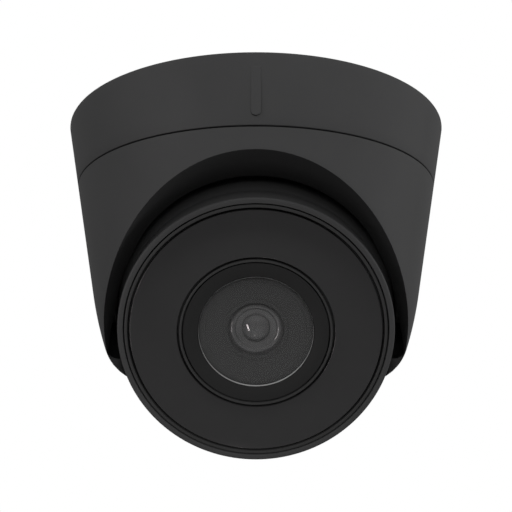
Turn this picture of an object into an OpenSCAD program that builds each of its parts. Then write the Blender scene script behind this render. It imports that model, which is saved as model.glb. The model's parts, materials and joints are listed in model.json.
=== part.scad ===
// Ceiling camera of the turret kind: a black base band on the ceiling, a
// conical shell that turns on it, and an eyeball that tilts in the shell's
// front scoop and rolls about its own lens axis.
//
// Frame: millimetres, +Z up. The origin is the centre of the mounting face
// on the ceiling, so the camera hangs below z = 0. The lens looks towards -Y
// and downwards. Parts of the eyeball are drawn along a +Z lens axis from
// the ball's centre and set in place by aim().

/* [Eyeball] */
// Radius of the eyeball
ball_r = 39; // [32:0.5:48]
// How far the bezel's collar stands inside the ball's radius
bezel_inset = 2.95; // [2.4:0.05:4.5]
// Length of the straight collar in front of the ball
collar_len = 9.3; // [8:0.1:12]
// Rounding of the bezel's front edge
edge_round = 0.5; // [0.3:0.05:1]
// Width of the bezel's flat front band
bezel_w = 1.5; // [1.2:0.05:2.5]
// Wall of the two ball housings
housing_t = 2.2; // [1.8:0.1:3]
// Lens direction below the horizontal as drawn, degrees
rest_tilt = 30; // [20:1:90]
// Highest lens direction, degrees below the horizontal
up_limit = 20; // [18:1:30]

/* [Window and lens] */
// Width of the trim ring round the infrared window
trim_w = 0.8; // [0.6:0.05:2]
// Thickness of the infrared window
window_t = 2; // [1.5:0.1:3]
// Radius of the round lens glass
glass_r = 15.1; // [12:0.1:18.2]
// Thickness of the lens glass
glass_t = 1.5; // [1:0.1:2]
// Width of the dark dish round the lens glass
dish_w = 3.9; // [3.2:0.1:5.5]
// Width of the ring between dish and window
ring_w = 0.6; // [0.5:0.05:1.5]
// Width of the black lines beside the bezel and the dish
line_w = 0.35; // [0.2:0.05:0.5]
// Width of the black lines beside the window
window_gap = 0.6; // [0.3:0.05:0.9]
// Radius of the lens barrel's front hood
hood_r = 8.6; // [8.1:0.1:12]
// Radius of the lens barrel's thread
thread_r = 6; // [5:0.1:7]
// Number of infrared emitters
led_count = 8; // [4:1:12]

/* [Tilting yoke] */
// Thickness of the yoke
yoke_t = 2.2; // [1.6:0.1:3]
// Width of the yoke band
yoke_w = 10; // [8:0.5:11]
// Gap between ball and yoke
yoke_gap = 0.5; // [0.3:0.05:1]
// Radius of the two tilt pins
pin_r = 2.5; // [1.8:0.1:3]
// Outer radius of the hollow roll spindle
spindle_r = 7; // [6:0.1:8.5]
// Thickness of the spindle nut
nut_t = 1.8; // [1.4:0.1:2.5]
// Play beside each friction washer
washer_t = 0.5; // [0.4:0.05:1]
// Running clearance of pins and spindle, on the radius
run_gap = 0.05; // [0.03:0.01:0.08]

/* [Turning shell] */
// Lean of the outer side from the vertical, degrees
side_lean = 10.46; // [6:0.02:12.6]
// Wall of the shell
shell_t = 2; // [1.6:0.1:3]
// Height of the bosses that hold the tilt pins
boss_h = 1.5; // [1.2:0.1:3]
// Gap between the ball and the rim of the shell's mouth
ball_gap = 0.4; // [0.3:0.05:0.8]
// Gap between the bezel and the mouth when the lens looks straight down
mouth_gap = 0.25; // [0.2:0.05:2]
// Height of the mouth's inner lip
lip_h = 7.7; // [5:0.1:9]
// Gap between the bezel and the side walls of the scoop
scoop_side = 4.65; // [3.5:0.05:6]
// Gap between the bezel's top and the scoop's roof at the upper limit
scoop_top = 1.57; // [1:0.01:3]
// Wall of the scoop
scoop_t = 2; // [1.6:0.1:3]
// Radius of the gentle curve above the lower corner
belly_r = 99; // [70:1:130]
// Slope where that curve meets the corner, degrees from the vertical
belly_end = 19.4; // [16:0.1:24]
// Radius of the lower corner
corner_r = 12; // [8:0.5:14]

/* [Base] */
// Height of the base band from the ceiling to the seam
base_h = 18; // [15:0.5:22]
// Thickness of the base plate
plate_t = 3; // [2.4:0.1:4]
// Wall of the base's skirt
skirt_t = 2.2; // [1.8:0.1:3]
// Height of the visible seam
seam_gap = 0.4; // [0.2:0.05:0.8]
// Room for the cable between base plate and spindle
cable_room = 3.5; // [3:0.5:12]
// Play between the turning neck and the parts beside it
neck_gap = 0.35; // [0.25:0.05:0.6]
// Wall of the turning neck
neck_t = 1.8; // [1.4:0.1:3]
// Width of the neck's inward flange
flange_w = 2.6; // [2:0.1:4]
// Thickness of the neck's inward flange
flange_t = 2.6; // [2:0.1:3.4]
// Wall of the base's inner collar
collar_t = 2.5; // [2:0.1:4]
// Thickness of the retaining ring
retainer_t = 2; // [1.5:0.1:3]
// Number of retaining screws
retainer_screws_n = 4; // [3:1:6]
// Radius of the circle of ceiling screw holes
fixing_pcr = 34; // [28:0.5:36]
// Radius of one ceiling screw hole
fixing_r = 2.25; // [1.75:0.05:3]
// Number of ceiling screw holes
fixing_n = 3; // [3:1:4]
// Radius of the cable hole in the grommet
cable_r = 5; // [3:0.1:6.5]
// Wall of the grommet
grommet_t = 4.4; // [3:0.1:5.5]
// Width of the raised mark on the front of the band
mark_w = 2.4; // [1.6:0.1:4]
// Length of the raised mark
mark_len = 12; // [8:0.5:12.5]

/* [Hidden] */
$fn = 96;
eps = 0.01;

// Eyeball, seen along the lens axis
bezel_r = ball_r - bezel_inset;
collar_z = sqrt(ball_r * ball_r - bezel_r * bezel_r);
front_z = collar_z + collar_len;
cavity_r = ball_r - housing_t;
face_z = front_z - 0.2;
trim_or = bezel_r - bezel_w - line_w;
trim_ir = trim_or - trim_w;
window_or = trim_ir - window_gap;
dish_or = glass_r + dish_w;
ring_ir = dish_or + line_w;
ring_or = ring_ir + ring_w;
window_ir = ring_or + window_gap;
gasket_t = 0.8;
ledge_z = face_z - window_t - gasket_t;
ledge_w = 1.8;
led_bore = window_or - ledge_w;
led_top = ledge_z - 3;
led_board_t = 1.2;
led_z = led_top - led_board_t;
led_seat_h = 3;
led_pcr = (window_ir + led_bore) / 2;
screw_pcr = cavity_r - 5.3;
boss_r = 3.4;
stack_pcr = ring_or + 2.4;
glass_z = face_z - 0.95 - glass_t;
hood_ir = hood_r - 1.2;
hood_top = glass_z - 0.3;

// Carrier of the eyeball
yoke_ir = ball_r + yoke_gap;
yoke_or = yoke_ir + yoke_t;
rear_len = yoke_gap + yoke_t + washer_t + nut_t;
spindle_end = ball_r + rear_len;
spindle_ir = spindle_r - 2;
ball_depth = plate_t + cable_room + spindle_end;

// Shell and base, as radii round the vertical axis
lean = tan(side_lean);
boss_face = yoke_or + washer_t;
shell_ir_mid = boss_face + boss_h;
rim_r = shell_ir_mid + shell_t + lean * ball_depth;
scoop_back = yoke_w / 2 + 1;
mouth_r = sqrt(bezel_r * bezel_r + scoop_back * scoop_back) + mouth_gap;
mouth_drop = sqrt(pow(ball_r + ball_gap, 2) - mouth_r * mouth_r);
shell_bottom = ball_depth + mouth_drop + lip_h;
cavity_floor = ball_depth + mouth_drop - 3.5;
scoop_r = bezel_r + scoop_side;
scoop_roof = bezel_r * cos(up_limit) - front_z * sin(up_limit) + scoop_top;
scoop_z = -ball_depth + scoop_roof - scoop_r;
seam_r = rim_r - lean * base_h;
neck_or = seam_r - skirt_t - neck_gap;
neck_ir = neck_or - neck_t;
lip_or = neck_ir - neck_gap;
flange_ir = neck_ir - flange_w;
collar_or = flange_ir - neck_gap;
collar_ir = collar_or - collar_t;
collar_end = base_h - 3;
flange_top = collar_end - washer_t - flange_t;
retainer_ir = collar_ir - 4.6;
retainer_pcr = collar_ir - 1.8;

// Slope, height and radius along the shell's curved lower side
corner_z = corner_r - shell_bottom;
belly_top = corner_z - corner_r * sin(belly_end) + belly_r * (sin(belly_end) - sin(side_lean));
belly_x = rim_r + lean * belly_top - belly_r * cos(side_lean);
belly_z = belly_top + belly_r * sin(side_lean);
corner_x = belly_x + (belly_r - corner_r) * cos(belly_end);
function side_r(z) = rim_r + lean * z;
function belly_pt(a) = [belly_x + belly_r * cos(a), belly_z - belly_r * sin(a)];

module aim() translate([0, 0, -ball_depth]) rotate([90 + rest_tilt, 0, 0]) children();

module ring(r_out, r_in, h) difference() {
    cylinder(h = h, r = r_out);
    translate([0, 0, -1]) cylinder(h = h + 2, r = r_in);
}

module around(n, r, start = 0) for (i = [0 : n - 1])
    rotate([0, 0, start + i * 360 / n]) translate([r, 0, 0]) children();

module screw(head_r, head_h, shank_r, len) {
    difference() {
        cylinder(h = head_h, r = head_r);
        translate([-head_r * 0.6, -0.25, -1]) cube([head_r * 1.2, 0.5, 1.6]);
        translate([-0.25, -head_r * 0.6, -1]) cube([0.5, head_r * 1.2, 1.6]);
    }
    translate([0, 0, head_h - eps]) cylinder(h = len, r = shank_r);
}

// ---- base ----

module mounting_base() color([0.1, 0.1, 0.1]) difference() {
    union() {
        rotate_extrude() polygon([
            [0, 0], [rim_r - 0.6, 0], [side_r(-0.6), -0.6],
            [side_r(-base_h + seam_gap), -base_h + seam_gap],
            [side_r(-base_h + seam_gap) - skirt_t, -base_h + seam_gap],
            [side_r(-plate_t) - skirt_t, -plate_t], [0, -plate_t]]);
        translate([0, 0, -collar_end]) ring(collar_or, collar_ir, collar_end - 1);
        around(retainer_screws_n, retainer_pcr, 60)
            translate([0, 0, -collar_end]) cylinder(h = collar_end - 1, r = 2.6);
        for (i = [0 : 11]) rotate([0, 0, 15 + i * 30])
            translate([collar_or - 0.5, -0.8, -flange_top + 1])
                cube([side_r(-flange_top) - skirt_t - collar_or + 1, 1.6, flange_top - 2]);
        around(fixing_n, fixing_pcr, 90)
            translate([0, 0, -plate_t - 1.5]) cylinder(h = 2, r = fixing_r + 2);
        raised_mark();
    }
    translate([0, 0, -plate_t - 1]) cylinder(h = plate_t + 2, r = cable_r + grommet_t);
    around(fixing_n, fixing_pcr, 90)
        translate([0, 0, -plate_t - 3]) cylinder(h = plate_t + 4, r = fixing_r);
    around(retainer_screws_n, retainer_pcr, 60)
        translate([0, 0, -collar_end - 1]) cylinder(h = 8, r = 1.05);
    translate([0, 0, -1]) ring(rim_r - 6, rim_r - 8, 2);
    lock_axis() cylinder(h = 10, r = 1.55);
}

// Raised mark on the front of the band, proud at its round lower end
module raised_mark() intersection() {
    rotate_extrude() polygon([
        [rim_r - 4, -2], [rim_r - 0.3, -2],
        [side_r(-base_h + seam_gap) + 0.45, -base_h + seam_gap],
        [side_r(-base_h + seam_gap) - 1, -base_h + seam_gap]]);
    translate([0, 0, -3.5]) rotate([90, 0, 0]) linear_extrude(rim_r + 5) union() {
        translate([-mark_w / 2, -mark_len + mark_w / 2]) square([mark_w, mark_len - mark_w / 2]);
        translate([0, -mark_len + mark_w / 2]) circle(mark_w / 2);
    }
}

// Axis of the locking screw at the back of the band, pointing inwards
module lock_axis() rotate([0, 0, 90]) translate([rim_r + 1, 0, -base_h + 3.4])
    rotate([0, -90, 0]) children();

module ceiling_gasket() color([0.16, 0.16, 0.16])
    translate([0, 0, -1]) ring(rim_r - 6, rim_r - 8, 1);

module cable_grommet() color([0.14, 0.14, 0.14]) difference() {
    union() {
        translate([0, 0, -plate_t - 1]) cylinder(h = 1, r = cable_r + grommet_t + 1.6);
        translate([0, 0, -plate_t - eps]) cylinder(h = plate_t + eps, r = cable_r + grommet_t);
    }
    translate([0, 0, -plate_t - 2]) cylinder(h = plate_t + 4, r = cable_r);
}

module pan_washer() color([0.85, 0.85, 0.82])
    translate([0, 0, -collar_end]) ring(lip_or, flange_ir + 0.1, washer_t - 0.05);

module pan_retainer() color([0.12, 0.12, 0.12]) difference() {
    translate([0, 0, -collar_end - retainer_t]) ring(lip_or, retainer_ir, retainer_t);
    around(retainer_screws_n, retainer_pcr, 60)
        translate([0, 0, -collar_end - retainer_t - 1]) cylinder(h = retainer_t + 2, r = 1.2);
}

module retainer_screws() color([0.6, 0.6, 0.62])
    around(retainer_screws_n, retainer_pcr, 60)
        translate([0, 0, -collar_end - retainer_t - 1.3]) screw(2, 1.3, 1, retainer_t + 5);

module pan_lock_screw() color([0.55, 0.55, 0.57]) lock_axis()
    translate([0, 0, rim_r + 1 - side_r(-base_h + 3.4) + 0.4]) difference() {
        cylinder(h = side_r(-base_h + 3.4) - 0.4 - neck_or - 0.1, r = 1.5);
        translate([0, 0, -1]) cylinder(h = 2, r = 0.8, $fn = 6);
    }

// ---- turning shell ----

// Half outline of the shell's outside from the seam to the mouth
module shell_outline() union() {
    polygon(concat(
        [[0, -base_h], [seam_r, -base_h]],
        [for (i = [0 : 6]) belly_pt(side_lean + (belly_end - side_lean) * i / 6)],
        [[corner_x, corner_z], [corner_x, -shell_bottom], [0, -shell_bottom]]));
    translate([corner_x, corner_z]) circle(corner_r);
}

// Half outline of the hollow between the seam and the mouth's lip
module shell_hollow() polygon(concat(
    [[0, -base_h + 1], [neck_ir, -base_h + 1], [neck_ir, -base_h - 1.5]],
    [[side_r(-base_h - 3) - shell_t, -base_h - 3]],
    [for (i = [0 : 6]) if (belly_pt(side_lean + (belly_end - side_lean) * i / 6)[1] > -cavity_floor)
        belly_pt(side_lean + (belly_end - side_lean) * i / 6) - [shell_t, 0]],
    [[side_r(-cavity_floor) - shell_t - 0.6, -cavity_floor], [0, -cavity_floor]]));

module scoop_tube(r) translate([0, -scoop_back, scoop_z])
    rotate([90, 0, 0]) cylinder(h = rim_r, r = r);

module tilt_axis(x) for (s = [0, 1]) mirror([s, 0, 0])
    translate([x, 0, -ball_depth]) rotate([0, 90, 0]) children();

module front_shell() color([0.1, 0.1, 0.1]) difference() {
    union() {
        difference() {
            rotate_extrude() shell_outline();
            rotate_extrude() shell_hollow();
        }
        intersection() {
            rotate_extrude() shell_outline();
            union() {
                scoop_tube(scoop_r + scoop_t);
                tilt_axis(boss_face) cylinder(h = 6, r = pin_r + 2.3);
            }
        }
        rotate_extrude() polygon([
            [neck_ir, -base_h - 1], [neck_or, -base_h - 1], [neck_or, -flange_top],
            [flange_ir, -flange_top], [flange_ir, -flange_top - flange_t],
            [neck_ir, -flange_top - flange_t]]);
    }
    scoop_tube(scoop_r);
    translate([0, 0, -ball_depth]) sphere(ball_r + ball_gap);
    translate([0, 0, -ball_depth]) rotate([90 + up_limit, 0, 0])
        cylinder(h = front_z + 1, r = bezel_r + ball_gap);
    translate([0, 0, -shell_bottom - 1]) cylinder(h = shell_bottom - ball_depth, r = mouth_r);
    tilt_axis(boss_face - 1) cylinder(h = boss_h + 2, r = pin_r + run_gap);
}

module tilt_washers() color([0.85, 0.85, 0.82])
    tilt_axis(yoke_or + 0.1) ring(pin_r + 2, pin_r + 0.1, washer_t - 0.1);

// ---- tilting yoke ----

module tilt_yoke() color([0.2, 0.2, 0.21]) aim() difference() {
    union() {
        rotate([-90, 0, 0]) rotate_extrude(angle = 180)
            translate([yoke_ir, -yoke_w / 2]) square([yoke_t, yoke_w]);
        for (s = [0, 1]) mirror([s, 0, 0])
            translate([yoke_ir, 0, 0]) rotate([0, 90, 0]) cylinder(h = yoke_t, r = yoke_w / 2);
        translate([0, 0, -yoke_or]) cylinder(h = yoke_t, r = spindle_r + 4);
    }
    translate([0, 0, -yoke_or - 2]) cylinder(h = yoke_t + 6, r = spindle_r + run_gap);
    for (s = [0, 1]) mirror([s, 0, 0])
        translate([yoke_ir - 2, 0, 0]) rotate([0, 90, 0]) cylinder(h = yoke_t + 4, r = pin_r + 0.02);
}

module tilt_pins() color([0.7, 0.7, 0.72])
    tilt_axis(yoke_ir + 0.1) cylinder(h = yoke_t + washer_t + boss_h + 0.4, r = pin_r);

module roll_washer() color([0.85, 0.85, 0.82])
    aim() translate([0, 0, -yoke_or - washer_t + 0.1]) ring(spindle_r + 2, spindle_r + 0.1, washer_t - 0.1);

// ---- eyeball housings ----

module front_housing() color([0.1, 0.1, 0.1]) aim() difference() {
    union() {
        rotate_extrude() difference() {
            union() {
                intersection() {
                    circle(ball_r);
                    square([ball_r + 1, collar_z + 1]);
                }
                square([bezel_r, front_z - edge_round]);
                square([bezel_r - edge_round, front_z]);
                translate([bezel_r - edge_round, front_z - edge_round]) circle(edge_round);
            }
            intersection() {
                circle(cavity_r);
                translate([0, -1]) square([ball_r, led_z - led_seat_h + 1]);
            }
            translate([0, -1]) square([led_bore - 2, front_z]);
            translate([0, led_z]) square([led_bore, front_z]);
            translate([0, ledge_z]) square([trim_or + line_w, front_z]);
        }
        around(4, screw_pcr, 45) translate([0, 0, 0.5]) cylinder(h = led_z - 1, r = boss_r);
    }
    translate([0, 0, led_z]) cylinder(h = front_z, r = led_bore);
    around(4, screw_pcr, 45) translate([0, 0, -1]) cylinder(h = 10, r = 1.25);
}

module rear_housing() color([0.1, 0.1, 0.1]) aim() difference() {
    union() {
        rotate_extrude() difference() {
            intersection() {
                circle(ball_r);
                translate([0, -ball_r - 1]) square([ball_r + 1, ball_r + 1]);
            }
            circle(cavity_r);
        }
        translate([0, 0, -spindle_end]) cylinder(h = rear_len + 1.5, r = spindle_r);
        intersection() {
            sphere(ball_r - 0.5);
            union() {
                around(4, screw_pcr, 45) translate([0, 0, -ball_r]) cylinder(h = ball_r, r = boss_r);
                around(4, stack_pcr, 0) translate([0, 0, -ball_r]) cylinder(h = ball_r - 12, r = 2.6);
            }
        }
    }
    translate([0, 0, -spindle_end - 1]) cylinder(h = rear_len + 6, r = spindle_ir);
    around(4, screw_pcr, 45) {
        translate([0, 0, -ball_r]) cylinder(h = ball_r - 5, r = 2.4);
        translate([0, 0, -ball_r]) cylinder(h = ball_r + 1, r = 1.3);
    }
    around(4, stack_pcr, 0) translate([0, 0, -18]) cylinder(h = 10, r = 0.9);
    rotate_extrude() translate([ball_r - housing_t / 2 - 0.45, -0.8]) square([0.9, 2]);
}

module housing_seal() color([0.7, 0.2, 0.12]) aim() rotate_extrude()
    translate([ball_r - housing_t / 2, -0.4]) circle(0.39);

module housing_screws() color([0.6, 0.6, 0.62]) aim()
    around(4, screw_pcr, 45) translate([0, 0, -7]) screw(2.1, 2, 1.2, 13);

module roll_nut() color([0.6, 0.6, 0.62]) aim() translate([0, 0, -spindle_end]) difference() {
    cylinder(h = nut_t, r = spindle_r + 1.6, $fn = 6);
    translate([0, 0, -1]) cylinder(h = nut_t + 2, r = spindle_r + 0.02);
}

module cable_gland() color([0.14, 0.14, 0.14]) aim()
    translate([0, 0, -spindle_end + 0.2]) ring(spindle_ir - 0.02, spindle_ir - 2.2, rear_len + 1);

// ---- front face ----

module trim_ring() color([0.13, 0.13, 0.13]) aim()
    translate([0, 0, ledge_z]) ring(trim_or, trim_ir, face_z - ledge_z + 0.05);

module window_gasket() color([0.08, 0.08, 0.08]) aim()
    translate([0, 0, ledge_z]) ring(window_or - 0.1, led_bore + 0.1, gasket_t);

module ir_window() color([0.06, 0.05, 0.06]) aim()
    translate([0, 0, ledge_z + gasket_t]) ring(window_or, window_ir, window_t);

module lens_ring() color([0.13, 0.13, 0.13]) aim() rotate_extrude() polygon([
    [ring_ir, face_z + 0.1], [ring_or, face_z + 0.1], [ring_or, face_z - window_t],
    [ring_or + 2, face_z - window_t], [ring_or + 2, ledge_z], [ring_or, ledge_z],
    [ring_or, led_top], [ring_ir - 0.8, led_top], [ring_ir - 0.8, ledge_z + 0.6],
    [ring_ir, ledge_z + 0.6]]);

module lens_dish() color([0.07, 0.07, 0.07]) aim() rotate_extrude() polygon([
    [glass_r + 0.15, face_z - 0.9], [dish_or, face_z - 0.3], [dish_or, ledge_z + 0.7],
    [ring_ir - 0.9, ledge_z + 0.7], [ring_ir - 0.9, led_top + 1], [ring_ir - 2.2, led_top + 1],
    [ring_ir - 2.2, hood_top - 1], [hood_r + 0.15, hood_top - 1], [hood_r + 0.15, hood_top],
    [glass_r - 1.8, hood_top], [glass_r - 1.8, glass_z], [glass_r + 0.15, glass_z]]);

module lens_glass() color([0.2, 0.2, 0.24]) aim()
    translate([0, 0, glass_z]) cylinder(h = glass_t, r = glass_r);

// ---- lens and boards ----

module lens_barrel() color([0.09, 0.09, 0.09]) aim() difference() {
    rotate_extrude() polygon([
        [0, 2], [thread_r, 2], [thread_r, 10], [8, 10], [8, led_z - 1], [hood_r, led_z + 0.5],
        [hood_r, hood_top], [0, hood_top]]);
    translate([0, 0, -1]) cylinder(h = 30, r = thread_r - 1.5);
    translate([0, 0, 11]) cylinder(h = 30, r = 6.6);
    translate([0, 0, hood_top - 2]) cylinder(h = 30, r = hood_ir);
}

module lens_elements() color([0.5, 0.55, 0.65]) aim() {
    intersection() {
        translate([0, 0, hood_top - 2]) cylinder(h = 3, r = hood_ir - 0.02);
        translate([0, 0, hood_top - 26]) sphere(26);
    }
    intersection() {
        translate([0, 0, 11]) cylinder(h = 3, r = 6.58);
        translate([0, 0, 13.4 - 15]) sphere(15);
    }
    translate([0, 0, 3]) cylinder(h = 2.4, r = thread_r - 1.52);
}

module lens_holder() color([0.1, 0.1, 0.1]) aim() difference() {
    union() {
        translate([-9, -9, -0.4]) cube([18, 18, 4]);
        translate([0, 0, 3]) cylinder(h = 4.5, r = thread_r + 1.8);
    }
    translate([0, 0, 1.5]) cylinder(h = 10, r = thread_r + 0.02);
    translate([-6, -6, -1]) cube([12, 12, 2]);
    translate([-4.7, -4.7, 0]) cube([9.4, 9.4, 1.5]);
    translate([0, 0, 0]) cylinder(h = 3, r = 4.4);
}

module ir_cut_filter() color([0.75, 0.45, 0.5]) aim()
    translate([-4.6, -4.6, 1.12]) cube([9.2, 9.2, 0.36]);

module image_sensor() color([0.25, 0.3, 0.35]) aim()
    translate([-4.6, -3.6, -0.4]) cube([9.2, 7.2, 1]);

module stack_holes(z, h, r) around(4, stack_pcr, 0) translate([0, 0, z]) cylinder(h = h, r = r);

module sensor_board() color([0.05, 0.3, 0.15]) aim() difference() {
    translate([0, 0, -2]) rotate([0, 0, 45]) translate([-18.5, -18.5, 0]) cube([37, 37, 1.6]);
    stack_holes(-3, 4, 0.95);
}

module led_board() color([0.9, 0.9, 0.88]) aim() difference() {
    translate([0, 0, led_z]) ring(led_bore - 0.15, hood_r + 0.4, led_board_t);
    stack_holes(led_z - 1, 4, 0.95);
}

module ir_leds() color([0.85, 0.8, 0.55]) aim()
    around(led_count, led_pcr, 360 / led_count / 2)
        translate([-1.7, -1.7, led_top]) cube([3.4, 3.4, 0.8]);

module led_lenses() color([0.8, 0.82, 0.85]) aim()
    around(led_count, led_pcr, 360 / led_count / 2) intersection() {
        translate([0, 0, led_top + 0.8]) cylinder(h = 2, r = 2.4);
        translate([0, 0, led_top + 2.7 - 4]) sphere(4);
    }

module light_sensor() color([0.9, 0.9, 0.8]) aim() rotate([0, 0, -90])
    translate([led_bore - 2.2, -0.8, led_top]) cube([1.6, 1.6, 0.7]);

module main_board() color([0.05, 0.3, 0.15]) aim() difference() {
    translate([0, 0, -12]) cylinder(h = 1.6, r = screw_pcr - boss_r - 0.6);
    stack_holes(-13, 4, 0.95);
}

// Two sets of posts: main board to sensor board, and on to the emitter board
module board_posts() color([0.75, 0.7, 0.5]) aim() around(4, stack_pcr, 0) {
    translate([0, 0, -10.4]) cylinder(h = 8.4, r = 2);
    translate([0, 0, -0.4]) cylinder(h = led_z + 0.4, r = 2);
}

module board_screws() color([0.6, 0.6, 0.62]) aim()
    around(4, stack_pcr, 0) translate([0, 0, led_top + 1.2]) mirror([0, 0, 1])
        screw(1.6, 1.2, 0.85, led_board_t);

module board_chips() color([0.08, 0.08, 0.09]) aim() {
    translate([-7, -7, -13.3]) cube([14, 14, 1.3]);
    translate([-16, -5, -13]) cube([6, 9, 1]);
    translate([9, -13, -13]) cube([7, 5, 1]);
    translate([-10, 10, -10.4]) cube([5, 5, 1]);
}

module board_connectors() color([0.92, 0.92, 0.9]) aim() {
    translate([-5, -15, -10.4]) cube([10, 4, 4]);
    translate([-4, 11.5, -13 - 3]) cube([8, 4, 4]);
    translate([5, 9, -2 - 3]) cube([7, 3, 3]);
}

module thermal_pad() color([0.6, 0.65, 0.75]) aim()
    translate([-6.5, -6.5, -14.8]) cube([13, 13, 1.5]);

module heat_sink() color([0.75, 0.76, 0.78]) aim() difference() {
    union() {
        translate([-14, -10, -17]) cube([28, 20, 2.2]);
        for (i = [0 : 6]) translate([-14, -10 + i * 3.1, -22]) cube([28, 1.4, 5.5]);
    }
    stack_holes(-40, 40, 3.2);
}

mounting_base();
ceiling_gasket();
cable_grommet();
pan_washer();
pan_retainer();
retainer_screws();
pan_lock_screw();
front_shell();
tilt_washers();
tilt_yoke();
tilt_pins();
roll_washer();
front_housing();
rear_housing();
housing_seal();
housing_screws();
trim_ring();
window_gasket();
ir_window();
lens_ring();
lens_dish();
lens_glass();
lens_barrel();
lens_elements();
lens_holder();
ir_cut_filter();
image_sensor();
sensor_board();
led_board();
ir_leds();
led_lenses();
light_sensor();
main_board();
board_posts();
board_screws();
board_chips();
board_connectors();
thermal_pad();
heat_sink();
roll_nut();
cable_gland();
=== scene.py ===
import bpy
import bmesh
import json
from math import sin, cos, tan, asin, atan2, sqrt, pi, radians, degrees
from mathutils import Vector, Matrix


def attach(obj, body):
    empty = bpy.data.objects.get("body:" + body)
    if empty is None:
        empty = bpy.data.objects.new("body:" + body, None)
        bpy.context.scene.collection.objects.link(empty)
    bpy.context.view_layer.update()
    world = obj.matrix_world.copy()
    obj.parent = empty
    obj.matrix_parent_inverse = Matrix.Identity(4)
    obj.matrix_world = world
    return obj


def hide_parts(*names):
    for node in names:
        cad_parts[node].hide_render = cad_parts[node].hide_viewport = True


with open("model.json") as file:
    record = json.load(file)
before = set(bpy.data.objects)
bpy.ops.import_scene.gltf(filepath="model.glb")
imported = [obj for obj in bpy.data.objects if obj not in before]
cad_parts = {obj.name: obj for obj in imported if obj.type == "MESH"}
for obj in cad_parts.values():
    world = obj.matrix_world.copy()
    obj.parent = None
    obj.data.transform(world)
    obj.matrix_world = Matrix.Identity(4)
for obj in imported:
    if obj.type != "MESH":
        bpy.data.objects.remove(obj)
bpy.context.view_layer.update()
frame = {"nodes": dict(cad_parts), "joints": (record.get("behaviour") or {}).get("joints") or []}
nodes = frame["nodes"]
joints = {j["name"]: j for j in frame["joints"]}
mm = 0.001
ballCentre = Vector(joints["tilt"]["pos_m"]) / mm  # millimetres, as every size below
lensAxis = Vector(joints["roll"]["axis"])
aim = Matrix.Translation(ballCentre) @ Vector((0, 0, 1)).rotation_difference(lensAxis).to_matrix().to_4x4()
print("frame loaded,", len(nodes), "nodes")


# camera and lights
cameraSet = {"place": (0, -236.5, -99.84), "lookUp": 15.13, "lens": 59.1}


def addCamera(s):
    data = bpy.data.cameras.new("camera")
    data.lens = s["lens"]
    data.sensor_width = 36
    data.clip_start = 0.005
    cam = bpy.data.objects.new("camera", data)
    bpy.context.scene.collection.objects.link(cam)
    cam.location = Vector(s["place"]) * mm
    cam.rotation_euler = (radians(90 + s["lookUp"]), 0, 0)
    bpy.context.scene.camera = cam


lightSet = {
    "sky": 0.30,  # soft light from above and all round
    "ground": 0.07,  # what comes back up from below
    "horizon": (-0.22, 0.08),  # heights between which one fades into the other
    "glintTint": (1.0, 0.9, 0.91),
    "lamps": [  # name, place, aim, width, height, watts
        ("frontBox", (0, -1000, 60), (0, 0, -50), 900, 520, 6.2),
        ("leftCard", (-640, -500, 420), (0, 0, -50), 400, 400, 1.8),
        ("rightCard", (760, -60, 60), (0, 0, -50), 400, 500, 3.4),
        ("glintStreak", (-540, -440, -440), (0, -18, -75), 130, 460, 2.0),
        ("glintDot", (-34, -101, -560), (0, -18, -75), 16, 16, 0.05),
    ],
}


def addLights(s):
    world = bpy.data.worlds.new("studio")
    world.use_nodes = True
    tree = world.node_tree
    tree.nodes.clear()
    coord = tree.nodes.new("ShaderNodeTexCoord")
    split = tree.nodes.new("ShaderNodeSeparateXYZ")
    tree.links.new(coord.outputs["Generated"], split.inputs[0])
    ramp = tree.nodes.new("ShaderNodeMapRange")
    ramp.interpolation_type = "SMOOTHSTEP"
    low, high = s["horizon"]
    limits = {"From Min": low, "From Max": high, "To Min": s["ground"], "To Max": s["sky"]}
    for key, value in limits.items():
        ramp.inputs[key].default_value = value
    tree.links.new(split.outputs["Z"], ramp.inputs["Value"])
    soft = tree.nodes.new("ShaderNodeBackground")
    tree.links.new(ramp.outputs["Result"], soft.inputs["Strength"])
    plain = tree.nodes.new("ShaderNodeBackground")
    path = tree.nodes.new("ShaderNodeLightPath")
    mix = tree.nodes.new("ShaderNodeMixShader")
    out = tree.nodes.new("ShaderNodeOutputWorld")
    tree.links.new(path.outputs["Is Camera Ray"], mix.inputs[0])
    tree.links.new(soft.outputs[0], mix.inputs[1])
    tree.links.new(plain.outputs[0], mix.inputs[2])
    tree.links.new(mix.outputs[0], out.inputs[0])
    for node in (soft, plain):
        node.inputs["Color"].default_value = (1, 1, 1, 1)
    plain.inputs["Strength"].default_value = 1.0
    bpy.context.scene.world = world
    for name, place, target, width, height, watts in s["lamps"]:
        data = bpy.data.lights.new(name, "AREA")
        data.shape = "RECTANGLE"
        data.size = width * mm
        data.size_y = height * mm
        data.energy = watts
        lamp = bpy.data.objects.new(name, data)
        bpy.context.scene.collection.objects.link(lamp)
        lamp.location = Vector(place) * mm
        lamp.rotation_euler = (Vector(target) - Vector(place)).to_track_quat("-Z", "Y").to_euler()
        mirrored = name.startswith("glint")
        lamp.visible_glossy = mirrored  # the big lamps give soft light with no mirror image
        lamp.visible_diffuse = not mirrored
        if mirrored:
            data.color = s["glintTint"]
    bpy.context.scene.view_settings.view_transform = "Standard"


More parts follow.
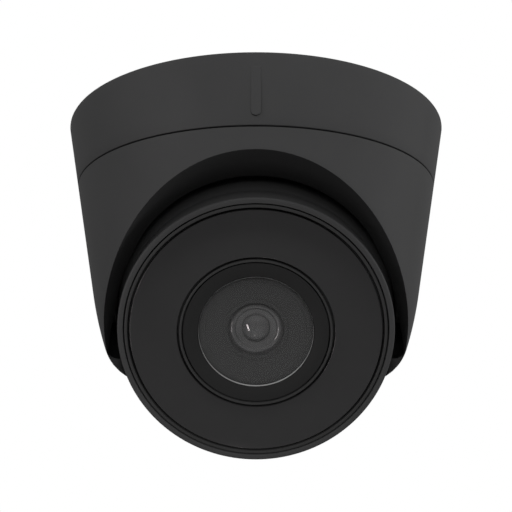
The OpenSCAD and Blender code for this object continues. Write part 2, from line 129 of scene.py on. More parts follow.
# materials
class wire:  # a node's output that can be used in sums
    def __init__(self, tree, socket=None):
        self.tree = tree
        self.socket = socket

    def make(self, kind, settings=None, inputs=None, out=0):
        node = self.tree.nodes.new("ShaderNode" + kind)
        for key, value in (settings or {}).items():
            setattr(node, key, value)
        for key, value in (inputs or {}).items():
            if isinstance(value, wire):
                self.tree.links.new(value.socket, node.inputs[key])
            else:
                node.inputs[key].default_value = value
        return wire(self.tree, node.outputs[out])

    def sums(self, operation, a, b):
        return self.make("Math", {"operation": operation}, {0: a, 1: b})

    def __add__(self, other):
        return self.sums("ADD", self, other)

    def __radd__(self, other):
        return self.sums("ADD", other, self)

    def __sub__(self, other):
        return self.sums("SUBTRACT", self, other)

    def __rsub__(self, other):
        return self.sums("SUBTRACT", other, self)

    def __mul__(self, other):
        return self.sums("MULTIPLY", self, other)

    def __rmul__(self, other):
        return self.sums("MULTIPLY", other, self)


def newFinish(name):
    mat = bpy.data.materials.new(name)
    mat.use_nodes = True
    tree = mat.node_tree
    tree.nodes.clear()
    shader = tree.nodes.new("ShaderNodeBsdfPrincipled")
    out = tree.nodes.new("ShaderNodeOutputMaterial")
    tree.links.new(shader.outputs[0], out.inputs[0])
    start = wire(tree)
    where = start.make("TexCoord", out=3)
    return mat, shader, start, where


def setSockets(shader, fixed):
    for key, value in fixed.items():
        shader.inputs[key].default_value = value


def blendColours(start, mask, low, high):
    return start.make("Mix", {"data_type": "RGBA"}, {0: mask, 6: (*low, 1), 7: (*high, 1)}, out=2)


# Moulded, painted and rubber surfaces: fine grain, broad unevenness, soft scuffs
grainSet = {
    "shellPaint": {
        "low": (0.044, 0.044, 0.0445), "high": (0.052, 0.052, 0.0525), "rough": 0.56, "spread": 0.06,
        "grain": 2600, "bump": 0.10, "depth": 0.00004, "specular": 0.16,
    },
    "basePlastic": {
        "low": (0.044, 0.044, 0.0445), "high": (0.052, 0.052, 0.0525), "rough": 0.56, "spread": 0.06,
        "grain": 2600, "bump": 0.10, "depth": 0.00004, "specular": 0.16,
    },
    "ballPaint": {
        "low": (0.044, 0.044, 0.0445), "high": (0.052, 0.052, 0.0525), "rough": 0.54, "spread": 0.05,
        "grain": 2900, "bump": 0.09, "depth": 0.00004, "specular": 0.16,
    },
    "trimPlastic": {
        "low": (0.028, 0.028, 0.028), "high": (0.034, 0.034, 0.034), "rough": 0.45, "spread": 0.04,
        "grain": 2200, "bump": 0.05, "depth": 0.00003, "specular": 0.2,
    },
    "dishPlastic": {
        "low": (0.018, 0.018, 0.018), "high": (0.022, 0.022, 0.022), "rough": 0.6, "spread": 0.05,
        "grain": 2400, "bump": 0.12, "depth": 0.00004, "specular": 0.1,
    },
    "plateGrey": {
        "low": (0.062, 0.062, 0.062), "high": (0.068, 0.068, 0.068), "rough": 0.6, "spread": 0.04,
        "grain": 2400, "bump": 0.05, "depth": 0.00003, "specular": 0.1,
    },
    "hoodGrey": {
        "low": (0.060, 0.060, 0.060), "high": (0.066, 0.066, 0.066), "rough": 0.6, "spread": 0.04,
        "grain": 2400, "bump": 0.05, "depth": 0.00003, "specular": 0.1,
    },
    "innerPlastic": {
        "low": (0.012, 0.012, 0.012), "high": (0.018, 0.018, 0.018), "rough": 0.6, "spread": 0.08,
        "grain": 1800, "bump": 0.12, "depth": 0.00005, "specular": 0.3,
    },
    "slidePlastic": {
        "low": (0.70, 0.70, 0.66), "high": (0.80, 0.80, 0.77), "rough": 0.4, "spread": 0.06,
        "grain": 1500, "bump": 0.05, "depth": 0.00003, "specular": 0.5,
    },
    "foam": {
        "low": (0.018, 0.018, 0.018), "high": (0.045, 0.045, 0.045), "rough": 0.95, "spread": 0.04,
        "grain": 1400, "bump": 0.6, "depth": 0.0002, "specular": 0.2,
    },
    "softRubber": {
        "low": (0.012, 0.012, 0.012), "high": (0.020, 0.020, 0.020), "rough": 0.7, "spread": 0.08,
        "grain": 1700, "bump": 0.15, "depth": 0.00006, "specular": 0.35,
    },
    "sealRubber": {
        "low": (0.35, 0.05, 0.025), "high": (0.45, 0.08, 0.04), "rough": 0.6, "spread": 0.08,
        "grain": 1700, "bump": 0.15, "depth": 0.00006, "specular": 0.4,
    },
    "padRubber": {
        "low": (0.36, 0.42, 0.52), "high": (0.46, 0.52, 0.62), "rough": 0.75, "spread": 0.08,
        "grain": 1500, "bump": 0.2, "depth": 0.00008, "specular": 0.3,
    },
    "chipBlack": {
        "low": (0.015, 0.015, 0.016), "high": (0.028, 0.028, 0.03), "rough": 0.55, "spread": 0.1,
        "grain": 3000, "bump": 0.15, "depth": 0.00004, "specular": 0.4,
    },
    "connectorWhite": {
        "low": (0.75, 0.72, 0.64), "high": (0.84, 0.82, 0.75), "rough": 0.45, "spread": 0.06,
        "grain": 1800, "bump": 0.05, "depth": 0.00003, "specular": 0.5,
    },
    "ledBody": {
        "low": (0.72, 0.66, 0.38), "high": (0.85, 0.80, 0.52), "rough": 0.35, "spread": 0.06,
        "grain": 1800, "bump": 0.05, "depth": 0.00003, "specular": 0.5,
    },
}


def grainFinish(name, s):
    mat, shader, start, where = newFinish(name)
    fine = start.make("TexNoise", {}, {"Vector": where, "Scale": s["grain"], "Detail": 3.0, "Roughness": 0.6})
    broad = start.make("TexNoise", {}, {"Vector": where, "Scale": 42.0, "Detail": 2.0})
    dust = start.make("TexNoise", {}, {"Vector": where, "Scale": 900.0, "Detail": 1.0})
    patch = start.make("MapRange", {}, {"Value": broad, "From Min": 0.3, "From Max": 0.7})
    colour = blendColours(start, patch * 0.7 + dust * 0.3, s["low"], s["high"])
    rough = s["rough"] + (patch - 0.5) * s["spread"] + (dust - 0.5) * (s["spread"] * 0.6)
    bump = start.make("Bump", {}, {"Strength": s["bump"], "Distance": s["depth"], "Height": fine})
    start.tree.links.new(colour.socket, shader.inputs["Base Color"])
    start.tree.links.new(rough.socket, shader.inputs["Roughness"])
    start.tree.links.new(bump.socket, shader.inputs["Normal"])
    setSockets(shader, {"Specular IOR Level": s["specular"]})
    return mat


# Metals: turned or brushed lines along one direction
metalSet = {
    "screwSteel": {
        "low": (0.42, 0.42, 0.43), "high": (0.62, 0.62, 0.64), "rough": 0.32,
        "stretch": (300, 300, 2600), "metallic": 1.0,
    },
    "brassPost": {
        "low": (0.52, 0.36, 0.13), "high": (0.70, 0.52, 0.22), "rough": 0.3,
        "stretch": (400, 400, 2200), "metallic": 1.0,
    },
    "heatAluminium": {
        "low": (0.55, 0.56, 0.58), "high": (0.72, 0.73, 0.75), "rough": 0.38,
        "stretch": (2400, 300, 300), "metallic": 1.0,
    },
}


def metalFinish(name, s):
    mat, shader, start, where = newFinish(name)
    turned = start.make("Mapping", {}, {"Vector": where, "Scale": s["stretch"]})
    lines = start.make("TexNoise", {}, {"Vector": turned, "Scale": 1.0, "Detail": 4.0, "Roughness": 0.55})
    stain = start.make("TexNoise", {}, {"Vector": where, "Scale": 160.0, "Detail": 2.0})
    colour = blendColours(start, lines * 0.6 + stain * 0.4, s["low"], s["high"])
    rough = s["rough"] + (lines - 0.5) * 0.2 + (stain - 0.5) * 0.15
    bump = start.make("Bump", {}, {"Strength": 0.15, "Distance": 0.00003, "Height": lines})
    start.tree.links.new(colour.socket, shader.inputs["Base Color"])
    start.tree.links.new(rough.socket, shader.inputs["Roughness"])
    start.tree.links.new(bump.socket, shader.inputs["Normal"])
    setSockets(shader, {"Metallic": s["metallic"]})
    return mat


# Circuit boards: solder mask with tracks and pads
boardSet = {
    "greenBoard": {
        "mask": (0.010, 0.085, 0.035), "track": (0.022, 0.14, 0.06),
        "pad": (0.60, 0.62, 0.60), "rough": 0.32,
    },
    "whiteBoard": {
        "mask": (0.72, 0.72, 0.70), "track": (0.80, 0.80, 0.78),
        "pad": (0.62, 0.55, 0.30), "rough": 0.38,
    },
}


def boardFinish(name, s):
    mat, shader, start, where = newFinish(name)
    turned = start.make("Mapping", {}, {"Vector": where, "Rotation": (radians(60), 0, 0)})
    tracks = start.make("TexBrick", {"offset": 0.37, "squash": 0.7, "squash_frequency": 3}, {
        "Vector": turned, "Scale": 260.0, "Mortar Size": 0.03, "Brick Width": 0.9, "Row Height": 0.3,
        "Color1": (0, 0, 0, 1), "Color2": (0.2, 0.2, 0.2, 1), "Mortar": (1, 1, 1, 1)}, out=1)
    dots = start.make("TexVoronoi", {}, {"Vector": turned, "Scale": 420.0})
    pads = start.make("Math", {"operation": "LESS_THAN"}, {0: dots, 1: 0.14})
    base = blendColours(start, tracks, s["mask"], s["track"])
    colour = start.make("Mix", {"data_type": "RGBA"}, {0: pads, 6: base, 7: (*s["pad"], 1)}, out=2)
    haze = start.make("TexNoise", {}, {"Vector": where, "Scale": 300.0, "Detail": 2.0})
    rough = s["rough"] + (haze - 0.5) * 0.15
    bump = start.make("Bump", {}, {"Strength": 0.3, "Distance": 0.00004, "Height": tracks + pads})
    start.tree.links.new(colour.socket, shader.inputs["Base Color"])
    start.tree.links.new(rough.socket, shader.inputs["Roughness"])
    start.tree.links.new((pads * 0.9).socket, shader.inputs["Metallic"])
    start.tree.links.new(bump.socket, shader.inputs["Normal"])
    return mat


# Glass and glossy windows
glassSet = {
    "windowGlass": {
        "low": (0.019, 0.0185, 0.019), "high": (0.022, 0.0215, 0.022), "rough": 0.14, "alpha": 1.0,
        "specular": 0.34, "coat": 0.0,
    },
    "coverGlass": {
        "low": (0.055, 0.055, 0.055), "high": (0.060, 0.060, 0.060), "rough": 0.04, "alpha": 0.12,
        "specular": 0.5, "coat": 0.0,
    },
    "edgeGlass": {
        "low": (0.42, 0.42, 0.42), "high": (0.52, 0.52, 0.52), "rough": 0.5, "alpha": 1.0,
        "specular": 0.4, "coat": 0.0,
    },
    "lensOptic": {
        "low": (0.095, 0.094, 0.095), "high": (0.115, 0.113, 0.114), "rough": 0.05, "alpha": 1.0,
        "specular": 0.8, "coat": 0.3,
    },
    "filterGlass": {
        "low": (0.42, 0.16, 0.2), "high": (0.55, 0.24, 0.28), "rough": 0.08, "alpha": 1.0,
        "specular": 0.6, "coat": 0.3,
    },
    "sensorFace": {
        "low": (0.02, 0.03, 0.04), "high": (0.05, 0.07, 0.09), "rough": 0.15, "alpha": 1.0,
        "specular": 0.6, "coat": 0.3,
    },
    "ledLens": {
        "low": (0.75, 0.77, 0.8), "high": (0.85, 0.87, 0.9), "rough": 0.06, "alpha": 0.9,
        "specular": 0.5, "coat": 0.0,
    },
}


def glassFinish(name, s):
    mat, shader, start, where = newFinish(name)
    smear = start.make("TexNoise", {}, {"Vector": where, "Scale": 120.0, "Detail": 3.0})
    colour = blendColours(start, smear, s["low"], s["high"])
    rough = s["rough"] + (smear - 0.5) * (s["rough"] * 0.5)
    bump = start.make("Bump", {}, {"Strength": 0.02, "Distance": 0.00001, "Height": smear})
    start.tree.links.new(colour.socket, shader.inputs["Base Color"])
    start.tree.links.new(rough.socket, shader.inputs["Roughness"])
    start.tree.links.new(bump.socket, shader.inputs["Normal"])
    setSockets(shader, {"Specular IOR Level": s["specular"], "Coat Weight": s["coat"], "Alpha": s["alpha"]})
    return mat


finishes = {}
for name, s in grainSet.items():
    finishes[name] = grainFinish(name, s)
for name, s in metalSet.items():
    finishes[name] = metalFinish(name, s)
for name, s in boardSet.items():
    finishes[name] = boardFinish(name, s)
for name, s in glassSet.items():
    finishes[name] = glassFinish(name, s)
print("finishes made,", len(finishes))


# making pieces
def spinProfile(points, steps=192):
    bm = bmesh.new()
    made = [bm.verts.new((r, 0, z)) for r, z in points]
    ring = [bm.edges.new((a, b)) for a, b in zip(made, made[1:] + made[:1])]
    bmesh.ops.spin(bm, geom=made + ring, cent=(0, 0, 0), axis=(0, 0, 1), angle=2 * pi, steps=steps,
                   use_merge=True)
    bmesh.ops.remove_doubles(bm, verts=bm.verts, dist=0.0005)
    bmesh.ops.dissolve_degenerate(bm, dist=0.0005, edges=bm.edges)
    return bm


def bevelRings(bm, rings):
    for r, z, width, segments in rings:  # every round edge at that radius and height
        near = [v for v in bm.verts if abs(v.co.xy.length - r) < 0.02 and abs(v.co.z - z) < 0.02]
        found = set(near)
        edges = [e for e in bm.edges if e.verts[0] in found and e.verts[1] in found]
        bmesh.ops.bevel(bm, geom=edges, offset=width, segments=segments, profile=0.5, affect="EDGES",
                        material=-1, clamp_overlap=True)


def finishPiece(name, bm, body, finish, replaced=(), place=None, sharp=32):
    if place is not None:
        bm.transform(place)
    bmesh.ops.recalc_face_normals(bm, faces=bm.faces)
    bm.transform(Matrix.Scale(mm, 4))
    for face in bm.faces:
        face.smooth = True
    mesh = bpy.data.meshes.new(name)
    bm.to_mesh(mesh)
    bm.free()
    mesh.set_sharp_from_angle(angle=radians(sharp))
    piece = bpy.data.objects.new(name, mesh)
    bpy.context.scene.collection.objects.link(piece)
    mesh.materials.append(finishes[finish])
    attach(piece, body)
    if replaced:
        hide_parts(*replaced)
    return piece


def smoothCopy(name, node, body, finish, sharp=28):
    bm = bmesh.new()
    bm.from_mesh(nodes[node].data)
    bmesh.ops.remove_doubles(bm, verts=bm.verts, dist=0.000001)
    for face in bm.faces:
        face.smooth = True
    mesh = bpy.data.meshes.new(name)
    bm.to_mesh(mesh)
    bm.free()
    mesh.set_sharp_from_angle(angle=radians(sharp))
    piece = bpy.data.objects.new(name, mesh)
    bpy.context.scene.collection.objects.link(piece)
    mesh.materials.append(finishes[finish])
    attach(piece, body)
    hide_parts(node)
    return piece


def arc(cx, cz, r, start, end, count):  # points of an arc, angles in degrees
    return [(cx + r * cos(radians(start + (end - start) * i / count)),
             cz + r * sin(radians(start + (end - start) * i / count))) for i in range(count + 1)]


# base band on the ceiling
lean = tan(radians(10.46))
baseSet = {
    "rim": 55.02, "height": 18.0, "seam": 0.4, "skirt": 2.2, "plate": 3.0, "holeR": 9.4,
    "topRound": 0.55, "seamRound": 0.22,
    "grooveIn": 8, "grooveOut": 6, "grooveDeep": 1,  # the foam's groove, measured in from the rim
    "collarOut": 44.4, "collarIn": 41.9, "collarEnd": 15.0,
    "screwCircle": 34.0, "screwR": 2.25, "screwDrill": 12,
    "lockHeight": -14.6, "lockR": 1.55, "lockDrill": 14,
    "markWidth": 2.4, "markLength": 12.0, "markTop": 3.5, "markProud": 0.5, "markFade": 0.06,
    "markDepth": 1.2, "markRound": 0.12,
}


def sideR(z):
    return baseSet["rim"] + lean * z


def makeBase(s):
    low = -s["height"] + s["seam"]
    rows = [(sideR(low * k / 6), low * k / 6) for k in range(1, 6)]
    inner, outer = s["rim"] - s["grooveIn"], s["rim"] - s["grooveOut"]
    bm = spinProfile([
        (s["holeR"], 0), (inner, 0), (inner, -s["grooveDeep"]), (outer, -s["grooveDeep"]), (outer, 0),
        (s["rim"], 0)] + rows + [(sideR(low), low), (sideR(low) - s["skirt"], low),
        (sideR(-s["plate"]) - s["skirt"], -s["plate"]), (s["collarOut"], -s["plate"]),
        (s["collarOut"], -s["collarEnd"]), (s["collarIn"], -s["collarEnd"]), (s["collarIn"], -s["plate"]),
        (s["holeR"], -s["plate"])], 256)
    bevelRings(bm, [(s["rim"], 0, s["topRound"], 4), (sideR(low), low, s["seamRound"], 3)])
    piece = finishPiece("baseBand", bm, "base", "basePlastic", ["mounting_base"])
    cutter = bmesh.new()
    for k in range(3):
        turn = Matrix.Rotation(radians(90 + 120 * k), 4, "Z") @ Matrix.Translation((s["screwCircle"], 0, -1))
        bmesh.ops.create_cone(cutter, cap_ends=True, segments=48, radius1=s["screwR"], radius2=s["screwR"],
                              depth=s["screwDrill"], matrix=turn)
    back = Matrix.Translation((0, s["rim"], s["lockHeight"])) @ Matrix.Rotation(pi / 2, 4, "X")
    bmesh.ops.create_cone(cutter, cap_ends=True, segments=32, radius1=s["lockR"], radius2=s["lockR"],
                          depth=s["lockDrill"], matrix=back)
    cutter.transform(Matrix.Scale(mm, 4))
    mesh = bpy.data.meshes.new("holes")
    cutter.to_mesh(mesh)
    cutter.free()
    holes = bpy.data.objects.new("holes", mesh)
    bpy.context.scene.collection.objects.link(holes)
    cut = piece.modifiers.new("holes", "BOOLEAN")
    cut.object = holes
    cut.solver = "EXACT"
    applyAll(piece)
    bpy.data.objects.remove(holes)
    piece.data.set_sharp_from_angle(angle=radians(32))
    return piece


def applyAll(piece):
    dg = bpy.context.evaluated_depsgraph_get()
    mesh = bpy.data.meshes.new_from_object(piece.evaluated_get(dg))
    piece.modifiers.clear()
    piece.data = mesh


def makeMark(s):
    bm = bmesh.new()
    bmesh.ops.create_grid(bm, x_segments=10, y_segments=30, size=0.5)
    half = s["markWidth"] / 2
    for v in bm.verts:
        down = (0.5 - v.co.y) * s["markLength"]
        past = max(0.0, down - (s["markLength"] - half))
        wide = sqrt(max(half * half - past * past, 0.0004))
        z = -s["markTop"] - down
        proud = s["markFade"] + (s["markProud"] - s["markFade"]) * down / s["markLength"]
        x = v.co.x * 2 * wide
        v.co = (x, -sqrt((sideR(z) + proud) ** 2 - x * x), z)
    rim = [e for e in bm.edges if e.is_boundary]
    out = bmesh.ops.extrude_edge_only(bm, edges=rim)
    for v in [g for g in out["geom"] if isinstance(g, bmesh.types.BMVert)]:
        v.co.y += s["markDepth"]
    bmesh.ops.holes_fill(bm, edges=[e for e in bm.edges if e.is_boundary], sides=0)
    outline = [e for e in bm.edges if e.calc_face_angle(0) > 0.9 and e.verts[0].co.y < -50.0]
    bmesh.ops.bevel(bm, geom=outline, offset=s["markRound"], segments=2, profile=0.5, affect="EDGES",
                    material=-1, clamp_overlap=True)
    return finishPiece("raisedMark", bm, "base", "basePlastic")


# turning shell
shellSet = {
    "wall": 1.8, "seam": -18, "seamRound": 0.22, "lipDrop": 2.5,
    "scoopR": 40.7, "scoopZ": -64.03, "backFace": -5.5, "mouthR": 36.8, "mouthTop": -65.1,
    "ballGap": 39.4, "fillet": 0.7, "bezelRoom": 36.75, "highest": radians(20),
    "slantStart": 79.0, "slantEnd": 86.0,  # degrees from the front, where the edge steps down to the mouth
    "bellyR": 99.0, "bellyEnd": 19.4, "cornerR": 12.0, "cornerEnd": 62.0, "bottom": -72.28,
    "frontColumns": 62, "rearStep": 2.2, "rows": 26, "lastRow": 1.7,
}


def shellSide(s):
    a0, a1 = 10.46, s["bellyEnd"]
    cornerZ = s["bottom"] + s["cornerR"]
    top = cornerZ - s["cornerR"] * sin(radians(a1)) + s["bellyR"] * (sin(radians(a1)) - sin(radians(a0)))
    bx = sideR(top) - s["bellyR"] * cos(radians(a0))
    bz = top + s["bellyR"] * sin(radians(a0))
    cx = bx + (s["bellyR"] - s["cornerR"]) * cos(radians(a1))
    line = [(sideR(z), z) for z in [s["seam"] + (top - s["seam"]) * k / 40 for k in range(40)]]
    line += [(bx + s["bellyR"] * cos(radians(a)), bz - s["bellyR"] * sin(radians(a)))
             for a in [a0 + (a1 - a0) * k / 30 for k in range(30)]]
    line += [(cx + s["cornerR"] * cos(radians(a)), cornerZ - s["cornerR"] * sin(radians(a)))
             for a in [a1 + (s["cornerEnd"] - a1) * k / 60 for k in range(61)]]
    return [p for p in line if p[0] >= s["mouthR"]]


def makeShell(s):
    line = shellSide(s)
    lengths = [0.0]
    for a, b in zip(line, line[1:]):
        lengths.append(lengths[-1] + sqrt((a[0] - b[0]) ** 2 + (a[1] - b[1]) ** 2))

    def at(t):  # radius and height at a distance down the side
        t = min(max(t, 0.0), lengths[-1])
        k = next(i for i in range(1, len(lengths)) if lengths[i] >= t - 1e-9)
        f = (t - lengths[k - 1]) / (lengths[k] - lengths[k - 1])
        return [line[k - 1][i] + (line[k][i] - line[k - 1][i]) * f for i in (0, 1)]

    def edgeAt(turn):  # distance down the side where the opening's edge lies, turn in degrees from the front
        turn = abs(turn)
        if turn >= slantEnd:
            return lengths[-1]
        if turn > slantStart:
            f = (turn - slantStart) / (slantEnd - slantStart)
            return edgeStart + (lengths[-1] - edgeStart) * f
        lo, hi = 0.0, lengths[-1]
        for k in range(40):
            mid = (lo + hi) / 2
            r, z = at(mid)
            inside = (r * sin(radians(turn))) ** 2 + (z - s["scoopZ"]) ** 2 < s["scoopR"] ** 2
            lo, hi = (lo, mid) if inside else (mid, hi)
        return (lo + hi) / 2

    slantStart, slantEnd = s["slantStart"], s["slantEnd"]
    edgeStart = edgeAt(slantStart)
    samples = [slantEnd * k / 600 for k in range(601)]
    spots = []
    for turn in samples:
        r, z = at(edgeAt(turn))
        spots.append(Vector((r * sin(radians(turn)), -r * cos(radians(turn)), z)))
    along = [0.0]
    for a, b in zip(spots, spots[1:]):
        along.append(along[-1] + (a - b).length)
    half = []
    count = s["frontColumns"]
    for k in range(count + 1):
        want = along[-1] * k / count
        i = next(j for j in range(1, len(along)) if along[j] >= want - 1e-6)
        f = (want - along[i - 1]) / (along[i] - along[i - 1])
        half.append(samples[i - 1] + (samples[i] - samples[i - 1]) * f)
    rear = int((180 - slantEnd) / s["rearStep"])
    half += [slantEnd + (180 - slantEnd) * (k + 1) / rear for k in range(rear)]
    turns = [-t for t in reversed(half)] + half[1:]
    bm = bmesh.new()
    across, down = len(turns) - 1, s["rows"]
    bmesh.ops.create_grid(bm, x_segments=across, y_segments=down, size=1.0)
    for v in bm.verts:
        turn = turns[round((v.co.x + 1) / 2 * across)]
        row = round((1 - v.co.y) / 2 * down)
        end = edgeAt(turn)
        t = end if row == down else (end - s["lastRow"]) * row / (down - 1)
        r, z = at(t)
        v.co = (r * sin(radians(turn)), -r * cos(radians(turn)), z)
    bmesh.ops.remove_doubles(bm, verts=bm.verts, dist=0.001)
    starts = {}
    belowSeam = s["seam"] - 0.5
    rim = [e for e in bm.edges if e.is_boundary and min(v.co.z for v in e.verts) < belowSeam]
    loop = rim
    for step in (0.06, 0.3, 1.0):  # three rows keep the wall's shading true beside the rounded edge
        out = bmesh.ops.extrude_edge_only(bm, edges=loop)
        loop = [g for g in out["geom"] if isinstance(g, bmesh.types.BMEdge)]
        for v in [g for g in out["geom"] if isinstance(g, bmesh.types.BMVert)]:
            if step == 0.06:
                starts[v] = v.co.copy()
            else:
                starts[v] = min(starts.items(), key=lambda item: (item[0].co - v.co).length_squared)[1]
            turn = abs(degrees(atan2(starts[v].x, -starts[v].y)))
            x, y, z = starts[v]
            side = -1 if x < 0 else 1
            high = z - ballCentre.z
            seat = s["ballGap"] ** 2 - x * x - high ** 2
            scoopEnd = Vector((x, min(-sqrt(max(seat, 0)), s["backFace"]), z))
            if abs(x) < s["bezelRoom"] and high > 0:  # room for the bezel when the eyeball looks its highest
                reach = sqrt(s["bezelRoom"] ** 2 - x * x) - high * cos(s["highest"])
                scoopEnd.y = min(scoopEnd.y, -reach / sin(s["highest"]))
            mouthEnd = Vector((side * s["mouthR"] * sin(radians(turn)), -s["mouthR"] * cos(radians(turn)),
                               s["mouthTop"]))
            f = min(max((turn - slantStart) / (slantEnd - slantStart), 0), 1)
            v.co = starts[v].lerp(scoopEnd.lerp(mouthEnd, f), step)
    bmesh.ops.recalc_face_normals(bm, faces=bm.faces)
    rimSet = {tuple(round(c, 4) for c in v.co) for e in rim for v in e.verts}
    edge = [e for e in bm.edges if len(e.link_faces) == 2
            and all(tuple(round(c, 4) for c in v.co) in rimSet for v in e.verts)]
    bmesh.ops.bevel(bm, geom=edge, offset=s["fillet"], segments=5, profile=0.5, affect="EDGES",
                    material=-1, clamp_overlap=True)
    seamEdges = [e for e in bm.edges if e.is_boundary and max(v.co.z for v in e.verts) > belowSeam]
    seamR = sideR(s["seam"])
    lip = bmesh.ops.extrude_edge_only(bm, edges=seamEdges)
    for v in [g for g in lip["geom"] if isinstance(g, bmesh.types.BMVert)]:
        f = (seamR - s["wall"]) / seamR
        v.co.x *= f
        v.co.y *= f
    top = [e for e in bm.edges if len(e.link_faces) == 2
           and all(abs(v.co.z - s["seam"]) < 0.001 and abs(v.co.xy.length - seamR) < 0.01 for v in e.verts)]
    bmesh.ops.bevel(bm, geom=top, offset=s["seamRound"], segments=3, profile=0.5, affect="EDGES", material=-1,
                    clamp_overlap=True)
    ends = [e for e in bm.edges if e.is_boundary and max(v.co.z for v in e.verts) > belowSeam]
    drop = bmesh.ops.extrude_edge_only(bm, edges=ends)
    for v in [g for g in drop["geom"] if isinstance(g, bmesh.types.BMVert)]:
        v.co.z -= s["lipDrop"]
    return finishPiece("turningShell", bm, "turret", "shellPaint", ["front_shell"], sharp=38)


# eyeball
ballSet = {
    "r": 39.0, "bezel": 36.05, "front": 24.18, "edge": 0.5, "pocket": 34.55, "pocketEdge": 0.12, "ledge": 21.18,
    "bore": 31.0, "shelf": 17.0, "shelfWidth": 2, "shelfEnd": 14.0, "cavity": 36.8, "blend": 3.2, "joint": 0.15,
}


def makeBallFront(s):
    collar = sqrt(s["r"] ** 2 - s["bezel"] ** 2)
    top = degrees(asin(collar / s["r"]))
    points = arc(0, 0, s["r"], 0, top, 18)
    points += [(s["bezel"], s["front"]), (s["pocket"], s["front"]), (s["pocket"], s["ledge"]),
               (s["bore"], s["ledge"]), (s["bore"], s["shelf"]), (s["bore"] - s["shelfWidth"], s["shelf"]),
               (s["bore"] - s["shelfWidth"], s["shelfEnd"])]
    points += arc(0, 0, s["cavity"], degrees(asin(s["shelfEnd"] / s["cavity"])), 0, 8)
    bm = spinProfile(points, 256)
    bevelRings(bm, [(s["bezel"], s["front"], s["edge"], 6), (s["pocket"], s["front"], s["pocketEdge"], 2),
                    (s["bezel"], collar, s["blend"], 6), (s["r"], 0, s["joint"], 2)])
    return finishPiece("ballFront", bm, "eyeball", "ballPaint", ["front_housing"], aim, sharp=40)


faceSet = {
    "trimRing": {"line": [(33.40, 21.18), (34.20, 21.18), (34.20, 24.03), (33.40, 24.03)], "bevel": 0.16,
                 "finish": "trimPlastic", "slot": "trim_plastic", "node": "trim_ring"},
    "windowPane": {"line": [(20.55, 21.98), (32.80, 21.98), (32.80, 23.98), (20.55, 23.98)], "bevel": 0.15,
                   "finish": "windowGlass", "slot": "window_glass", "node": "ir_window"},
    "lensRing": {"line": [(19.35, 24.08), (19.95, 24.08), (19.95, 21.98), (21.95, 21.98), (21.95, 21.18),
                          (19.95, 21.18), (19.95, 18.18), (18.55, 18.18), (18.55, 21.78), (19.35, 21.78)],
                 "bevel": 0.14, "finish": "trimPlastic", "slot": "trim_plastic", "node": "lens_ring"},
    "lensDish": {"line": [(15.2, 23.08), (19.0, 23.68), (19.0, 21.88), (18.45, 21.88), (18.45, 19.18),
                          (17.15, 19.18), (17.15, 20.23), (15.2, 20.23)],
                 "bevel": 0.12, "finish": "dishPlastic", "slot": "dish_plastic", "node": "lens_dish"},
    "lensPlate": {"line": [(15.19, 20.25), (8.64, 20.25), (8.64, 21.23), (13.3, 21.23), (13.3, 21.53),
                           (15.19, 21.53)],
                  "bevel": 0.05, "finish": "plateGrey", "slot": "dish_plastic", "node": "lens_dish"},
}


def makeFace(name, s):
    bm = spinProfile(s["line"], 192)
    topZ = max(z for r, z in s["line"])
    bevelRings(bm, [(r, z, s["bevel"], 3) for r, z in s["line"] if z > topZ - 0.65])
    return finishPiece(name, bm, "eyeball", s["finish"], [s["node"]], aim)


glassPane = {"r": 15.1, "low": 21.56, "high": 23.03, "bevel": 0.03,
             "edgeR": 15.06, "edgeThick": 0.006, "edgeLow": 22.2, "edgeDrop": 0.06}  # its ground edge


def makeGlass(s):
    bm = bmesh.new()
    middle = Matrix.Translation((0, 0, (s["low"] + s["high"]) / 2))
    bmesh.ops.create_cone(bm, cap_ends=True, segments=128, radius1=s["r"], radius2=s["r"],
                          depth=s["high"] - s["low"], matrix=middle)
    bevelRings(bm, [(s["r"], s["high"], s["bevel"], 2), (s["r"], s["low"], 0.15, 2)])
    finishPiece("coverGlass", bm, "eyeball", "coverGlass", ["lens_glass"], aim)
    inner, top = s["edgeR"] - s["edgeThick"], s["high"] - s["edgeDrop"]
    rim = spinProfile([(inner, s["edgeLow"]), (s["edgeR"], s["edgeLow"]), (s["edgeR"], top), (inner, top)], 128)
    finishPiece("glassEdge", rim, "eyeball", "edgeGlass", (), aim)


barrelSet = {
    "line": [(7.4, 18.6), (7.4, 21.1), (7.6, 21.23), (8.6, 21.23), (8.6, 16.5), (8.0, 15.0),
             (8.0, 10.0), (6.0, 10.0), (6.0, 2.0), (4.5, 2.0), (4.5, 11.0), (6.6, 11.0), (6.6, 17.0)],
    "elements": arc(0, 15.5, 5.6, 90, 50, 16) + [(3.75, 19.2), (5.4, 19.6)]
    + arc(6.2, 19.3, 0.85, 160, 60, 8) + [(7.38, 19.6), (7.38, 17.4), (0, 17.4)],
}


def makeBarrel(s):
    bm = spinProfile(s["line"], 128)
    finishPiece("lensBarrel", bm, "eyeball", "hoodGrey", ["lens_barrel"], aim)
    glass = bmesh.new()
    made = [glass.verts.new((r, 0, z)) for r, z in s["elements"]]
    line = [glass.edges.new((a, b)) for a, b in zip(made, made[1:])]
    bmesh.ops.spin(glass, geom=made + line, cent=(0, 0, 0), axis=(0, 0, 1), angle=2 * pi, steps=96,
                   use_merge=True)
    bmesh.ops.remove_doubles(glass, verts=glass.verts, dist=0.001)
    finishPiece("lensElements", glass, "eyeball", "lensOptic", ["lens_elements"], aim, sharp=35)


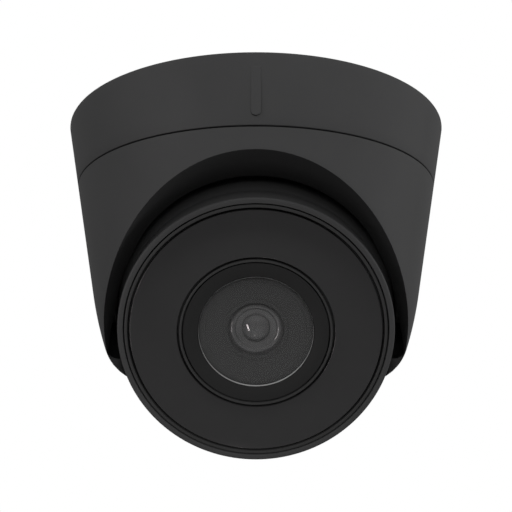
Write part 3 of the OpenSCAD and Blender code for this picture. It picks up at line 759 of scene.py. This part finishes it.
plainNodes = {  # CAD nodes whose shape is right, with the finish each takes
    "ceiling_gasket": "foam", "pan_washer": "slidePlastic",
    "pan_retainer": "innerPlastic", "retainer_screws": "screwSteel", "pan_lock_screw": "screwSteel",
    "tilt_washers": "slidePlastic", "tilt_pins": "screwSteel", "roll_washer": "slidePlastic",
    "housing_seal": "sealRubber", "housing_screws": "screwSteel", "window_gasket": "softRubber",
    "lens_holder": "innerPlastic", "ir_cut_filter": "filterGlass",
    "image_sensor": "sensorFace", "sensor_board": "greenBoard", "led_board": "whiteBoard",
    "ir_leds": "ledBody", "led_lenses": "ledLens", "light_sensor": "ledBody", "main_board": "greenBoard",
    "board_posts": "brassPost", "board_screws": "screwSteel", "board_chips": "chipBlack",
    "board_connectors": "connectorWhite", "thermal_pad": "padRubber", "heat_sink": "heatAluminium",
    "roll_nut": "screwSteel", "cable_gland": "softRubber",
}

floorSet = {"r": 2.2, "height": -0.9, "colour": (0.8, 0.8, 0.8, 1), "rough": 0.8}  # metres

addCamera(cameraSet)
addLights(lightSet)
print("camera and light set")
makeBase(baseSet)
makeMark(baseSet)
print("base band made")
makeShell(shellSet)
print("shell made")
makeBallFront(ballSet)
for name, s in faceSet.items():
    makeFace(name, s)
makeGlass(glassPane)
makeBarrel(barrelSet)
smoothCopy("ballRear", "rear_housing", "eyeball", "ballPaint")
smoothCopy("yokeBand", "tilt_yoke", "yoke", "innerPlastic")
smoothCopy("grommet", "cable_grommet", "base", "softRubber")
print("eyeball made")
for node, finish in plainNodes.items():
    holder = nodes[node]
    if not holder.data.materials:
        holder.data.materials.append(finishes[finish])
    for place in holder.material_slots:
        place.material = finishes[finish]
print("plain nodes finished,", len(plainNodes))

floor = bmesh.new()
bmesh.ops.create_circle(floor, cap_ends=True, segments=96, radius=floorSet["r"],
                        matrix=Matrix.Translation((0, 0, floorSet["height"])))
floorMesh = bpy.data.meshes.new("floor")
floor.to_mesh(floorMesh)
floor.free()
floorPiece = bpy.data.objects.new("floor", floorMesh)
bpy.context.scene.collection.objects.link(floorPiece)
floorPaint = bpy.data.materials.new("floorPaint")
floorPaint.use_nodes = True
floorShader = floorPaint.node_tree.nodes["Principled BSDF"]
setSockets(floorShader, {"Base Color": floorSet["colour"], "Roughness": floorSet["rough"]})
floorMesh.materials.append(floorPaint)
floorPiece.visible_diffuse = False  # no light thrown back up under the camera
print("floor laid")
